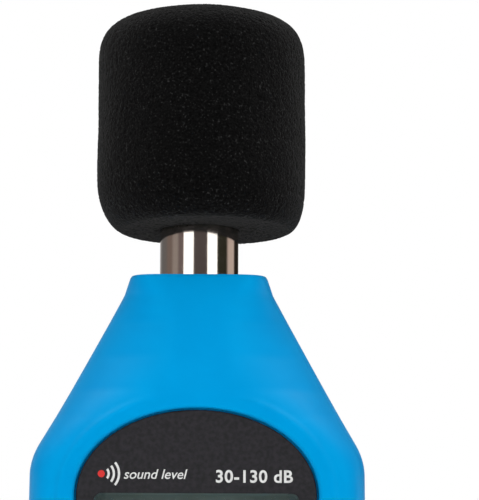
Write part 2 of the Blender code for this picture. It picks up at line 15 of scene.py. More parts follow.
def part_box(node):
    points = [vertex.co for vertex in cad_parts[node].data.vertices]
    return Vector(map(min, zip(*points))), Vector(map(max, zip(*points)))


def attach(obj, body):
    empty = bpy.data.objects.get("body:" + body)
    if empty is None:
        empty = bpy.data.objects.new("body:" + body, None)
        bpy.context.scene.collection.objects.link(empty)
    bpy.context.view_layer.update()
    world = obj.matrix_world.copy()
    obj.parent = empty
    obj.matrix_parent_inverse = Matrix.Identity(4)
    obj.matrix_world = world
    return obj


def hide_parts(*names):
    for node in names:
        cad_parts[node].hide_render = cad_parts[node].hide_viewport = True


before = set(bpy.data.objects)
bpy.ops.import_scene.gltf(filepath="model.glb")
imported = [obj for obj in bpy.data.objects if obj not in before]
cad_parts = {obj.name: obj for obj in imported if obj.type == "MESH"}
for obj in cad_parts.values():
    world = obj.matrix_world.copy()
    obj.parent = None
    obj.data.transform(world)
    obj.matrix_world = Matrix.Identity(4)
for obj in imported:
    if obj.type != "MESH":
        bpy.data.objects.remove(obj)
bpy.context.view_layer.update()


# ---------------------------------------------------------------- microphone barrel and capsule
# The half-inch barrel is a brass tube, turned and nickel plated, and polished: it mirrors the soft boxes as
# long bright strips. Its flange sits in a rubber boot in the neck, and the capsule is pressed in at the top.

MM = 0.001
MIC_RADIUS = 6.35


def linear(code):
    """The linear colour of an sRGB hex value."""
    channels = [int(code[i:i + 2], 16) / 255 for i in (0, 2, 4)]
    return (*[c / 12.92 if c <= 0.04045 else ((c + 0.055) / 1.055) ** 2.4 for c in channels], 1.0)


def node(tree, kind, settings=None, links=None, stops=()):
    """Adds a node: settings are its properties or its sockets' values, and links feed its sockets.

    A colour ramp also has stops, which are pairs of a position and an sRGB hex value.
    """
    added = tree.nodes.new(kind)
    for name, value in (settings or {}).items():
        if hasattr(added, name):
            setattr(added, name, value)
        else:
            added.inputs[name].default_value = value
    for name, source in (links or {}).items():
        tree.links.new(source, added.inputs[name])
    if stops:
        elements = added.color_ramp.elements
        for element, (position, code) in ((elements[1], stops[-1]), (elements[0], stops[0])):
            element.position, element.color = position, linear(code)
        for position, code in stops[1:-1]:
            elements.new(position).color = linear(code)
    return added


class Finish:
    """A material in the making: its Principled shader, and patterns laid in the object's own coordinates."""

    def __init__(self, name, colour, roughness, metallic=0.0, **sockets):
        self.material = bpy.data.materials.new(name)
        self.material.use_nodes = True
        self.tree = self.material.node_tree
        self.shader = self.tree.nodes["Principled BSDF"]
        for socket, value in {"Base Color": linear(colour), "Roughness": roughness, "Metallic": metallic,
                              **sockets}.items():
            self.shader.inputs[socket].default_value = value
        self.place = node(self.tree, "ShaderNodeTexCoord").outputs["Object"]

    def noise(self, size_mm, stretch=(1, 1, 1), detail=2.0):
        """Noise whose features have a size in millimetres, and may be stretched along the axes."""
        scaled = node(self.tree, "ShaderNodeMapping", {"Scale": [1 / (size_mm * MM * s) for s in stretch]},
                      {"Vector": self.place})
        return node(self.tree, "ShaderNodeTexNoise", {"Scale": 1.0, "Detail": detail},
                    {"Vector": scaled.outputs["Vector"]}).outputs["Fac"]

    def colour(self, factor, *stops, stepped=False):
        """Colours the surface by a factor, from stops that are pairs of a position and an sRGB hex value."""
        ramp = node(self.tree, "ShaderNodeValToRGB", {}, {"Fac": factor}, stops)
        ramp.color_ramp.interpolation = "CONSTANT" if stepped else "LINEAR"
        self.tree.links.new(ramp.outputs["Color"], self.shader.inputs["Base Color"])
        return self

    def mottle(self, size_mm, dark, light, **options):
        """Colours the surface in soft patches between two shades."""
        return self.colour(self.noise(size_mm, **options), (0.35, dark), (0.65, light))

    def polish(self, size_mm, least, most, **options):
        """Lets the roughness drift between two values."""
        spread = node(self.tree, "ShaderNodeMapRange",
                      {"From Min": 0.3, "From Max": 0.7, "To Min": least, "To Max": most},
                      {"Value": self.noise(size_mm, **options)})
        self.tree.links.new(spread.outputs["Result"], self.shader.inputs["Roughness"])
        return self

    def grain(self, size_mm, depth_mm, strength=1.0, **options):
        """Gives the surface fine relief of a size and a depth."""
        bump = node(self.tree, "ShaderNodeBump", {"Strength": strength, "Distance": depth_mm * MM},
                    {"Height": self.noise(size_mm, **options)})
        self.tree.links.new(bump.outputs["Normal"], self.shader.inputs["Normal"])
        return self


def add_turned(shape, profile, place=Matrix.Identity(4), sides=48):
    """Spins a closed profile of (radius, height) round its own axis, then moves it by a matrix."""
    kept = set(shape.verts)
    rim = [shape.verts.new((radius, 0.0, height)) for radius, height in profile]
    edges = [shape.edges.new(pair) for pair in zip(rim, rim[1:])]
    if profile[0][0] > 0.001:
        edges.append(shape.edges.new((rim[-1], rim[0])))
    bmesh.ops.spin(shape, geom=rim + edges, cent=(0, 0, 0), axis=(0, 0, 1), angle=math.tau, steps=sides,
                   use_merge=True)
    bmesh.ops.remove_doubles(shape, verts=[v for v in shape.verts if v not in kept], dist=0.0005)
    bmesh.ops.transform(shape, matrix=place, verts=[v for v in shape.verts if v not in kept])


def add_box(shape, low, high):
    size, centre = Vector(high) - Vector(low), (Vector(high) + Vector(low)) / 2
    bmesh.ops.create_cube(shape, size=1.0, matrix=Matrix.Translation(centre) @ Matrix.Diagonal((*size, 1.0)))


def made(adder, *values, **options):
    """A new bmesh that holds one added shape."""
    shape = bmesh.new()
    adder(shape, *values, **options)
    return shape


def add_all(shape, others):
    """Puts other bmeshes into one, and frees them."""
    for other in others:
        passing = bpy.data.meshes.new("passing")
        other.to_mesh(passing)
        other.free()
        shape.from_mesh(passing)
        bpy.data.meshes.remove(passing)
    return shape


def arc(centre, radius, start, stop, steps):
    """Points on an arc, with angles in degrees."""
    angles = [math.radians(start + (stop - start) * i / steps) for i in range(steps + 1)]
    return [(centre[0] + radius * math.cos(a), centre[1] + radius * math.sin(a)) for a in angles]


def temporary(shape):
    """A passing object for a Boolean, from a bmesh."""
    bmesh.ops.recalc_face_normals(shape, faces=shape.faces)
    mesh = bpy.data.meshes.new("tool")
    shape.to_mesh(mesh)
    shape.free()
    tool = bpy.data.objects.new("tool", mesh)
    bpy.context.scene.collection.objects.link(tool)
    return tool


CUT, JOIN, KEEP = "DIFFERENCE", "UNION", "INTERSECT"


def carved(shape, *cuts):
    """The shape after a row of Booleans, each an operation and the bmesh that does it."""
    work = temporary(shape)
    tools = [temporary(tool) for _, tool in cuts]
    for (operation, _), tool in zip(cuts, tools):
        modifier = work.modifiers.new(operation, "BOOLEAN")
        modifier.operation, modifier.object, modifier.solver = operation, tool, "MANIFOLD"
    result = bmesh.new()
    result.from_object(work, bpy.context.evaluated_depsgraph_get())
    for passing in [work, *tools]:
        mesh = passing.data
        bpy.data.objects.remove(passing)
        bpy.data.meshes.remove(mesh)
    return result


def finished(name, shape, finish, body, stands_for=(), sharp=32):
    """Turns a bmesh in millimetres into a piece that rides on a body."""
    bmesh.ops.scale(shape, vec=(MM, MM, MM), verts=shape.verts)
    mesh = bpy.data.meshes.new(name)
    shape.to_mesh(mesh)
    shape.free()
    mesh.materials.append(finish.material)
    mesh.shade_smooth()
    mesh.set_sharp_from_angle(angle=math.radians(sharp))
    piece = bpy.data.objects.new(name, mesh)
    bpy.context.scene.collection.objects.link(piece)
    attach(piece, body)
    if stands_for:
        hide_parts(*stands_for)
    return piece


def dress(finish, *names):
    """Gives CAD nodes a material."""
    for name in names:
        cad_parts[name].material_slots[0].material = finish.material


def corners_of(name):
    """A CAD node's lowest and highest corners, in millimetres."""
    return [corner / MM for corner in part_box(name)]


def centre_of(name):
    """The x and z of a CAD node's middle."""
    low, high = corners_of(name)
    return (low.x + high.x) / 2, (low.z + high.z) / 2


# Bright nickel, polished after plating: a mirror with the faintest turning marks round the tube.
NICKEL = Finish("polished_nickel_plate", "D8CFC7", 0.1, 1.0)
NICKEL.polish(3.0, 0.07, 0.13, stretch=(1, 1, 0.1)).grain(0.25, 0.0008, 0.5, stretch=(40, 40, 1))

barrel_low, barrel_high = corners_of("mic_barrel")
BARREL_BORE = 5.5
FLANGE_THICKNESS, BARREL_EDGE = 1.2, 0.25
flange_radius, flange_top = barrel_high.x, barrel_low.z + FLANGE_THICKNESS
barrel = [(BARREL_BORE, barrel_low.z), (flange_radius, barrel_low.z), (flange_radius, flange_top),
          (MIC_RADIUS, flange_top),
          *arc((MIC_RADIUS - BARREL_EDGE, barrel_high.z - BARREL_EDGE), BARREL_EDGE, 0, 90, 4),
          (BARREL_BORE, barrel_high.z)]
finished("microphone_barrel", made(add_turned, barrel, sides=128), NICKEL,
         "case", ["mic_barrel"])

# The grid that screws on over the capsule: a nickel cap with a ring of slots and a hole in the middle.
grid_low, grid_high = corners_of("mic_grid")
GRID_THICKNESS, GRID_EDGE = 0.8, 0.7
HOLE_RADIUS, SLOTS, SLOT_START, SLOT_END, SLOT_HALF_WIDTH = 0.7, 12, 1.7, 4.9, 0.32
grid_under = grid_high.z - GRID_THICKNESS
cap = [(0, grid_under), (BARREL_BORE, grid_under), (BARREL_BORE, grid_low.z), (MIC_RADIUS, grid_low.z),
       *arc((MIC_RADIUS - GRID_EDGE, grid_high.z - GRID_EDGE), GRID_EDGE, 0, 90, 6), (0, grid_high.z)]
openings = made(add_turned, [(0, grid_low.z), (HOLE_RADIUS, grid_low.z), (HOLE_RADIUS, grid_high.z + 1),
                             (0, grid_high.z + 1)], sides=20)
slots = [made(add_box, (SLOT_START, -SLOT_HALF_WIDTH, grid_high.z - 2),
              (SLOT_END, SLOT_HALF_WIDTH, grid_high.z + 1)) for _ in range(SLOTS)]
for i, slot in enumerate(slots):
    turn = Matrix.Rotation(math.tau * i / SLOTS, 3, "Z")
    bmesh.ops.rotate(slot, cent=(0, 0, 0), matrix=turn, verts=slot.verts)
finished("microphone_grid", carved(made(add_turned, cap, sides=96), (CUT, add_all(openings, slots))), NICKEL,
         "case", ["mic_grid"])

# Stainless steel, turned: satin, with a soft unevenness.
STEEL = Finish("turned_stainless_steel", "B9B7B3", 0.32, 1.0)
STEEL.polish(1.5, 0.25, 0.4).grain(0.2, 0.002, 0.4, stretch=(20, 20, 1))
dress(STEEL, "mic_capsule")

# Nitrile rubber, moulded: nearly black and matt, with a fine bloom.
RUBBER = Finish("moulded_nitrile_rubber", "17171A", 0.75)
RUBBER.mottle(1.2, "141416", "1D1D20").grain(0.25, 0.01, 0.5)
dress(RUBBER, "mic_boot")


# ---------------------------------------------------------------- wires
# Stranded copper in extruded PVC, which has a waxy sheen and slight waves from the die. They carry the
# microphone's signal and the battery's current to the board.

RED_PVC = Finish("extruded_red_pvc", "B5201D", 0.4).mottle(2.0, "A81B19", "BD2623")
BLACK_PVC = Finish("extruded_black_pvc", "161616", 0.4).mottle(2.0, "131313", "1C1C1C")
for pvc in (RED_PVC, BLACK_PVC):
    pvc.grain(0.6, 0.01, 0.4)
dress(RED_PVC, "mic_lead_signal", "battery_lead_red")
dress(BLACK_PVC, "mic_lead_shield", "battery_lead_black")


# ---------------------------------------------------------------- main board
# A glass-epoxy board under green solder mask, with its chips, crystal and capacitors soldered to the back.
# The copper under the mask shows as slightly lighter tracks.

MASK = Finish("green_solder_mask", "1F5B36", 0.35)
flat = node(MASK.tree, "ShaderNodeMapping", {"Rotation": (math.pi / 2, 0, 0)}, {"Vector": MASK.place})
tracks = node(MASK.tree, "ShaderNodeTexBrick",
              {"Color1": linear("1B5230"), "Color2": linear("205C38"), "Mortar": linear("34804F"),
               "Scale": 1.0, "Brick Width": 5.0 * MM, "Row Height": 1.3 * MM, "Mortar Size": 0.14 * MM,
               "offset": 0.37},
              {"Vector": flat.outputs["Vector"]})
MASK.tree.links.new(tracks.outputs["Color"], MASK.shader.inputs["Base Color"])
MASK.grain(0.8, 0.01, 0.3)
dress(MASK, "main_board")

# Moulded epoxy: black, with a fine matt grain.
EPOXY = Finish("moulded_chip_epoxy", "1B1B1D", 0.5).mottle(0.6, "161618", "222225")
EPOXY.grain(0.12, 0.006, 0.6)
dress(EPOXY, "controller_chip", "amplifier_chip", "filter_capacitor_1", "filter_capacitor_2")

# Drawn steel can, tin plated: greyish and softly bright.
TINNED = Finish("tinned_steel_can", "B4B6B8", 0.28, 1.0).polish(1.0, 0.2, 0.38)
dress(TINNED, "timing_crystal", "key_dome_1", "key_dome_2", "key_dome_3")


# ---------------------------------------------------------------- display
# A liquid crystal glass in a white frame, lit from behind through a moulded guide, and joined to the board
# by a rubber zebra strip. Its reflective film is grey-green, and the figures stand dark on its face.

WHITE_PLASTIC = Finish("moulded_white_polystyrene", "E6E6E2", 0.4).mottle(6.0, "E2E2DD", "EAEAE6")
WHITE_PLASTIC.grain(0.4, 0.006, 0.4)
dress(WHITE_PLASTIC, "display_frame", "backlight_guide", "trimmer_body")

# Silicone rubber in thin slices, carbon black and clear grey by turns: dull, with fine stripes across.
ZEBRA = Finish("striped_silicone_strip", "3C4046", 0.6)
STRIPE_PITCH, WAVE_TEXTURE_PERIOD = 1.6, math.tau / 20
stripes = node(ZEBRA.tree, "ShaderNodeTexWave",
               {"bands_direction": "X", "Scale": WAVE_TEXTURE_PERIOD / (STRIPE_PITCH * MM)},
               {"Vector": ZEBRA.place})
ZEBRA.colour(stripes.outputs["Fac"], (0.4, "1C1E21"), (0.6, "8E8F8A"))
dress(ZEBRA, "zebra_strip")

# Polarising film, laminated to the glass: a soft grey-green that shines only a little.
LCD_FILM = Finish("grey_green_polariser_film", "54645E", 0.34, **{"Specular IOR Level": 0.3})
LCD_FILM.mottle(12.0, "51615B", "586862").grain(0.15, 0.002, 0.4)
dress(LCD_FILM, "display_glass")

# Liquid crystal that is switched on: nearly black, and as dull as the film it lies on.
LCD_INK = Finish("dark_liquid_crystal", "0C100F", 0.4, **{"Specular IOR Level": 0.2})
LCD_INK.mottle(1.0, "0A0E0D", "101514")
INK = 0.03                   # thickness of a print or a lit segment
FIGURES_BACK = corners_of("display_glass")[0].y - 0.01
DIGIT_HEIGHT, DIGIT_WIDTH, BAR, BAR_GAP, LEAN = 10.0, 5.4, 1.15, 0.12, 0.1
DIGITS_LEFT, DIGITS_FOOT, DIGIT_PITCH = -12.6, 63.6, 7.6
LIT = {"5": "acdfg", "6": "acdefg", "8": "abcdefg"}


def add_slab(shape, outline, y):
    """A thin flat shape that faces forwards, from an outline of (x, z) points, with its back at y."""
    face = shape.faces.new([shape.verts.new((x, y, z)) for x, z in outline])
    swept = bmesh.ops.extrude_face_region(shape, geom=[face])["geom"]
    moved = [part for part in swept if isinstance(part, bmesh.types.BMVert)]
    bmesh.ops.translate(shape, vec=(0, -INK, 0), verts=moved)


def add_strip(shape, x, z, width, height, y):
    add_slab(shape, [(x, z), (x + width, z), (x + width, z + height), (x, z + height)], y)


def add_round(shape, x, z, radius, y, sides):
    """A round slab."""
    add_slab(shape, [(x + radius * math.cos(a), z + radius * math.sin(a))
                     for a in (math.tau * i / sides for i in range(sides))], y)


def add_digit(shape, lit, x, z, y):
    """A seven-segment figure, leaning a little: each segment is a bar with pointed ends."""
    half, reach = DIGIT_HEIGHT / 2, DIGIT_WIDTH
    ends = {"a": ((0, 2 * half), (reach, 2 * half)), "g": ((0, half), (reach, half)),
            "d": ((0, 0), (reach, 0)), "f": ((0, half), (0, 2 * half)), "e": ((0, 0), (0, half)),
            "b": ((reach, half), (reach, 2 * half)), "c": ((reach, 0), (reach, half))}
    for key in lit:
        start, stop = (Vector(end) for end in ends[key])
        along = (stop - start).normalized()
        side = Vector((-along.y, along.x)) * BAR / 2
        start, stop = start + along * BAR_GAP, stop - along * BAR_GAP
        step = along * BAR / 2
        outline = [start, start + step - side, stop - step - side,
                   stop, stop - step + side, start + step + side]
        add_slab(shape, [(x + p.x + LEAN * p.y, z + p.y) for p in outline], y)


figures = bmesh.new()
for i, figure in enumerate("658"):
    add_digit(figures, LIT[figure], DIGITS_LEFT + DIGIT_PITCH * i, DIGITS_FOOT, FIGURES_BACK)
add_round(figures, 1.0, 63.3, 0.75, FIGURES_BACK, 12)              # the decimal point

# The bar graph under the figures, of which the first half is full, and the ticks of its scale.
TICKS, FULL_TICKS, GRAPH_LEFT, TICK_PITCH = 23, 11, -13.0, 1.13
for i in range(TICKS):
    left = GRAPH_LEFT + TICK_PITCH * i
    add_strip(figures, left, 59.6, 0.8, 1.3 if i < FULL_TICKS else 0.25, FIGURES_BACK)
    add_strip(figures, left, 61.3, 0.25, 0.7 if i % 2 == 0 else 0.4, FIGURES_BACK)

CAPITAL_SHARE = 0.729        # how tall a capital is, as a share of the font's size


def lettering(words, cap_height, x, z, y, lean=0.0, weight=0.0, spread=1.0):
    """Words that face forwards, as a thin mesh with its back at y, centred on x and standing on z."""
    text = bpy.data.curves.new("words", "FONT")
    text.body, text.align_x = words, "CENTER"
    text.shear, text.offset, text.space_character = lean, weight, spread
    text.size, text.extrude, text.resolution_u = cap_height / CAPITAL_SHARE, INK / 2, 6
    holder = bpy.data.objects.new("words", text)
    mesh = bpy.data.meshes.new_from_object(holder)
    shape = bmesh.new()
    shape.from_mesh(mesh)
    bmesh.ops.remove_doubles(shape, verts=shape.verts, dist=0.0001)
    place = Matrix.Translation((x, y - INK / 2, z)) @ Matrix.Rotation(math.pi / 2, 4, "X")
    bmesh.ops.transform(shape, matrix=place, verts=shape.verts)
    bpy.data.objects.remove(holder)
    bpy.data.curves.remove(text)
    bpy.data.meshes.remove(mesh)
    return shape


# Each sign of the display: its words, the height of its capitals, and where it stands.
signs = [("dB", 3.0, 12.0, 68.4), ("A", 2.2, 13.2, 64.0),
         ("FAST", 1.5, -12.0, 76.2), ("MAX", 1.5, -5.5, 76.2), ("HOLD", 1.5, 1.4, 76.2),
         ("30", 1.3, -12.7, 57.7), ("80", 1.3, 0.1, 57.7), ("130", 1.3, 11.8, 57.7)]
add_all(figures, [lettering(words, height, x, z, FIGURES_BACK) for words, height, x, z in signs])
finished("display_figures", figures, LCD_INK, "case")


# ---------------------------------------------------------------- keypad
# Three silicone rubber caps on one web, compression moulded, with a dry matt skin. Each cap has a raised rim
# round a flat top, and its sign is screen printed in white.

SILICONE = Finish("moulded_grey_silicone", "3C4046", 0.62, **{"Specular IOR Level": 0.35})
SILICONE.mottle(1.5, "393D43", "42464C").grain(0.18, 0.006, 0.6)
dress(SILICONE, "keypad_web")
WHITE_INK = Finish("white_screen_ink", "DCDDDC", 0.5).mottle(0.8, "D4D5D4", "E2E3E2")
WHITE_INK.grain(0.2, 0.004, 0.4)


def add_band(shape, x, z, radius, width, start, stop, y, steps=24):
    """A printed arc, with angles in degrees from +X: a small face spun round a centre."""
    near, far = radius - width / 2, radius + width / 2
    first = [shape.verts.new((near, y, 0)), shape.verts.new((far, y, 0)), shape.verts.new((far, y - INK, 0)),
             shape.verts.new((near, y - INK, 0))]
    face = shape.faces.new(first)
    geom = [face, *face.edges, *first]
    known = set(shape.verts) - set(first)
    bmesh.ops.rotate(shape, cent=(0, 0, 0), matrix=Matrix.Rotation(-math.radians(start), 3, "Y"), verts=first)
    bmesh.ops.spin(shape, geom=geom, cent=(0, 0, 0), axis=(0, -1, 0), angle=math.radians(stop - start),
                   steps=steps)
    bmesh.ops.translate(shape, vec=(x, 0, z), verts=[v for v in shape.verts if v not in known])


RIM, RIM_RISE, RIM_SLOPE, CAP_EDGE = 0.9, 0.18, 0.2, 0.6
STEM_RADIUS, STEM_TOP, SKIRT, SKIRT_TOP = 1.9, 2.2, 0.9, 2.9
SIGN_HEIGHT, SIGN_DROP, SIGN_LINE, POWER_RADIUS = 1.45, 0.72, 0.42, 1.9
for name, words in (("hold_key", "HOLD"), ("power_key", None), ("range_key", "MAX")):
    low, high = corners_of(name)
    x, z = centre_of(name)
    radius = (high.x - low.x) / 2 - SKIRT
    top = high.y - low.y
    profile = [(0, 0), (STEM_RADIUS, 0), (STEM_RADIUS, STEM_TOP), (radius + SKIRT, STEM_TOP),
               (radius + SKIRT, SKIRT_TOP), (radius, SKIRT_TOP),
               *arc((radius - CAP_EDGE, top - CAP_EDGE), CAP_EDGE, 0, 90, 6), (radius - RIM, top - 0.02),
               (radius - RIM - RIM_SLOPE, top - RIM_RISE), (0, top - RIM_RISE)]
    facing = Matrix.Translation((x, high.y, z)) @ Matrix.Rotation(math.radians(90), 4, "X")
    finished(name + "_cap", made(add_turned, profile, facing, 64), SILICONE, name, [name])
    print_back = low.y + RIM_RISE
    if words:
        sign = lettering(words, SIGN_HEIGHT, x, z - SIGN_DROP, print_back, weight=0.03)
    else:
        sign = bmesh.new()
        add_band(sign, x, z, POWER_RADIUS, SIGN_LINE, 125, 415, print_back)
        add_strip(sign, x - SIGN_LINE / 2, z + 0.5, SIGN_LINE, 2.0, print_back)
        bmesh.ops.recalc_face_normals(sign, faces=sign.faces)
    finished(name + "_sign", sign, WHITE_INK, name)


# ---------------------------------------------------------------- front shell
# The front half of the case: ABS, injection moulded with a fine satin grain, so light spreads softly on it.
# A low ridge runs round the face plate, whose recess has a rounded lip. Four posts take the case screws.

GAP = 0.3
ABS = Finish("moulded_blue_abs", "0098DC", 0.42, IOR=1.53,
             **{"Specular IOR Level": 0.4, "Specular Tint": (0.0, 0.75, 1.0, 1.0)})
ABS.mottle(9.0, "0096DA", "009ADE").grain(0.35, 0.012, 0.45)


def filleted(corners, steps=8):
    """A line through corners of (u, z, radius), with each inner corner rounded to its radius."""
    points = [corners[0][:2]]
    for before, corner, after in zip(corners, corners[1:], corners[2:]):
        here = Vector(corner[:2])
        back = (Vector(before[:2]) - here).normalized()
        on = (Vector(after[:2]) - here).normalized()
        half_angle = back.angle(on) / 2
        centre = here + (back + on).normalized() * (corner[2] / math.sin(half_angle))
        reach = corner[2] / math.tan(half_angle)
        start, stop = here + back * reach - centre, here + on * reach - centre
        turn = start.angle_signed(stop)
        turns = [-turn * i / steps for i in range(steps + 1)]
        points += [tuple(centre + Matrix.Rotation(angle, 2) @ start) for angle in turns]
    return points + [corners[-1][:2]]


CASE_TOP = corners_of("front_shell")[1].z
CASE_HALF_WIDTH, CASE_HALF_DEPTH, WALL, INNER_TOP = 26.45, 14.0, 2.2, 109.5
FRONT_INSIDE, REAR_INSIDE = -11.2, 12.0
OUTER_SIDE = filleted([(0, 0, 0), (24.4, 0, 11.0), (CASE_HALF_WIDTH, 56, 60.0), (CASE_HALF_WIDTH, 86.3, 10.0),
                       (11.96, 112.6, 2.0), (11.05, CASE_TOP - 0.25, 0.25), (10.85, CASE_TOP, 0)])[1:]
OUTER_FRONT = filleted([(0, 0, 0), (CASE_HALF_DEPTH, 0, 4.0), (CASE_HALF_DEPTH, 95.0, 30.0),
                        (8.6, CASE_TOP - 0.25, 0.25), (8.4, CASE_TOP, 0)])[1:]
OUTER_BACK = filleted([(0, 0, 0), (CASE_HALF_DEPTH, 0, 4.0), (CASE_HALF_DEPTH, 91.5, 30.0),
                       (8.6, CASE_TOP - 0.25, 0.25), (8.4, CASE_TOP, 0)])[1:]
INNER_SIDE = filleted([(0, WALL, 0), (22.2, WALL, 8.8), (24.45, 56, 60.0), (24.45, 85.5, 9.0),
                       (11.7, 108.0, 1.0), (11.4, INNER_TOP, 0)], 3)[1:]
INNER_FRONT = filleted([(0, WALL, 0), (-FRONT_INSIDE, WALL, 2.0), (-FRONT_INSIDE, 94.0, 25.0),
                        (8.1, INNER_TOP, 0)], 3)[1:]
INNER_BACK = filleted([(0, WALL, 0), (REAR_INSIDE, WALL, 2.0), (REAR_INSIDE, 90.5, 25.0),
                       (8.1, INNER_TOP, 0)], 3)[1:]
OUTER, INNER = (OUTER_SIDE, OUTER_FRONT, OUTER_BACK), (INNER_SIDE, INNER_FRONT, INNER_BACK)


def width_at(line, z):
    """How far a line reaches out at a height."""
    return float(np.interp(z, [p[1] for p in line], [p[0] for p in line]))


# The front of a slice at a height: the share of its half-width that is flat, and how square the curve is
# from there to the side. It is square in the body, slopes away in the shoulders and fills out at the rim.
FRONT_FORM = [(80.0, 0.64, 5.0), (84.0, 0.62, 4.6), (87.3, 0.56, 3.6), (92.8, 0.42, 2.4), (97.0, 0.26, 1.95),
              (102.4, 0.18, 1.75), (108.0, 0.18, 1.8), (112.0, 0.24, 2.3), (CASE_TOP, 0.32, 3.6)]
BACK_LEVELS, NECK_SQUARE, COARSE = [86.0, 112.0], 7.0, 0.2


def section(z, lines, back_square, fine_side, count):
    """A slice of the case at height z, with its points close together on the fine side: -1 front, 1 back."""
    side, front, back = lines
    heights, flats, squares = zip(*FRONT_FORM)
    flat, front_power = np.interp(z, heights, flats), 2 / np.interp(z, heights, squares)
    back_power = 2 / np.interp(z, BACK_LEVELS, [back_square, NECK_SQUARE])
    angles = np.linspace(0, math.tau, 2001)
    across, along, at_back = np.abs(np.cos(angles)), np.abs(np.sin(angles)), np.sin(angles) > 0
    x = np.where(at_back, across ** back_power, flat + (1 - flat) * across ** front_power) * width_at(side, z)
    x *= np.sign(np.cos(angles))
    y = np.where(at_back, along ** back_power * width_at(back, z), -along ** front_power * width_at(front, z))
    weight = np.where(at_back[:-1] == (fine_side > 0), 1.0, COARSE if fine_side else 1.0)
    steps = np.hypot(np.diff(x), np.diff(y)) * weight
    travelled = np.concatenate([[0], np.cumsum(steps)])
    even = np.linspace(0, travelled[-1], count, endpoint=False)
    return zip(np.interp(even, travelled, x), np.interp(even, travelled, y))


def levels(lines, spacing):
    """Heights from the foot of the lines to their top: the lines' own corners, and even steps between."""
    corners = sorted({round(p[1], 2) for line in lines for p in line})
    kept = [corners[0]]
    for z in corners[1:]:
        steps = max(1, round((z - kept[-1]) / spacing))
        if z - kept[-1] > 0.25 * spacing or z == corners[-1]:
            kept += [kept[-1] + (z - kept[-1]) * i / steps for i in range(1, steps + 1)]
    return kept


def swept_rings(shape, count, rings):
    """Skins rings of points, one after another, by extruding the last ring's edges and moving them."""
    ring = bmesh.ops.create_circle(shape, segments=count, radius=1)["verts"]
    first = edges = list({e for v in ring for e in v.link_edges})
    for i, points in enumerate(rings):
        if i:
            grown = bmesh.ops.extrude_edge_only(shape, edges=edges)["geom"]
            edges = [g for g in grown if isinstance(g, bmesh.types.BMEdge)]
            fresh = {v for e in edges for v in e.verts}
            ring = [next(e.other_vert(v) for e in v.link_edges if e.other_vert(v) in fresh) for v in ring]
        for vert, point in zip(ring, points):
            vert.co = point
    bmesh.ops.contextual_create(shape, geom=first)
    bmesh.ops.contextual_create(shape, geom=edges)


def case_form(lines, back_square, spacing, count, fine_side=0, raised=lambda x, z: 0):
    """The solid form of the case: one slice after another, from the bottom end to the neck."""
    slices = ([(x, y - (raised(x, z) if y < -6 else 0), z)
               for x, y in section(z, lines, back_square, fine_side, count)] for z in levels(lines, spacing))
    return made(swept_rings, count, slices)


PLATE_LOW, PLATE_HIGH = corners_of("face_plate")
PLATE_SHOULDER = 80.4        # where its arch meets its sides


def plate_outline(grow=0.0, steps=48):
    """The face plate: half an ellipse on top, and sides that taper to a shallower one at the foot."""
    foot, foot_half_width = 23.0, 16.2
    turn = [math.pi * i / steps for i in range(steps + 1)]
    arch, sweep = PLATE_HIGH.z - PLATE_SHOULDER + grow, foot - PLATE_LOW.z + grow
    upper = [((PLATE_HIGH.x + grow) * math.cos(a), PLATE_SHOULDER + arch * math.sin(a)) for a in turn]
    return upper + [(-(foot_half_width + grow) * math.cos(a), foot - sweep * math.sin(a)) for a in turn]


EDGE_STARTS = np.array(plate_outline())
EDGE_RUNS = np.roll(EDGE_STARTS, -1, axis=0) - EDGE_STARTS
RIDGE_HEIGHT, RIDGE_REACH, RIDGE_FALL = 0.32, 2.6, 0.9


def ridge(x, z):
    """How proud the ridge round the face plate stands: it climbs slowly to a crest and drops outside it."""
    share = np.clip(((np.array([x, z]) - EDGE_STARTS) * EDGE_RUNS).sum(1) / (EDGE_RUNS ** 2).sum(1), 0, 1)
    near = EDGE_STARTS + EDGE_RUNS * share[:, None]
    away = float(np.hypot(x - near[:, 0], z - near[:, 1]).min())
    height = max(0.0, min(away / RIDGE_REACH, 1 - (away - RIDGE_REACH) / RIDGE_FALL))
    over_arch = min(1.0, max(0.0, (abs(x) - 4.0) / 9.0)) if z > PLATE_SHOULDER else 1.0
    return RIDGE_HEIGHT * height * height * (3 - 2 * height) * (0.1 + 0.9 * over_arch)


def add_prism(shape, rings):
    """Skins one outline after another along Y: rings are pairs of an outline of (x, z) points and its y."""
    swept_rings(shape, len(rings[0][0]), ([(x, y, z) for x, z in outline] for outline, y in rings))


ALONG_Y = Matrix.Rotation(math.radians(-90), 4, "X")     # turns +Z to +Y


def add_bore(shape, x, z, steps, end=20.0, sides=40):
    """A stepped round cutter or rod along Y, from (radius, where it starts) steps."""
    profile = [(0, steps[0][1])]
    for (radius, start), stop in zip(steps, [y for _, y in steps[1:]] + [end]):
        profile += [(radius, start), (radius, stop)]
    add_turned(shape, profile + [(0, end)], Matrix.Translation((x, 0, z)) @ ALONG_Y, sides)


def rounded_box(half_width, z_low, z_high, radius, steps=6):
    """The outline of a rectangle with round corners, centred on X = 0."""
    right, foot, head = half_width - radius, z_low + radius, z_high - radius
    corners = ((right, head, 0), (-right, head, 90), (-right, foot, 180), (right, foot, 270))
    return [p for x, z, start in corners for p in arc((x, z), radius, start, start + 90, steps)]


KEY_HOLES = [(*centre_of(name), radius)
             for name, radius in (("hold_key", 4.8), ("power_key", 6.0), ("range_key", 4.8))]
CASE_SCREWS = [centre_of(f"case_screw_{i}") for i in range(1, 5)]
BOARD_SCREWS = [centre_of(f"board_screw_{i}") for i in range(1, 5)]
LENS_LOW, LENS_HIGH = corners_of("display_lens")
RECESS_FLOOR, LIP, LIP_STEPS = -12.4, 0.75, 6
PARTING = 0.06               # half of the gap between the two shells
CASE_POST, CASE_PILOT, BOARD_POST, BOARD_PILOT = 2.8, 1.4, 1.8, 1.0     # radii
POSTS_START = -11.9


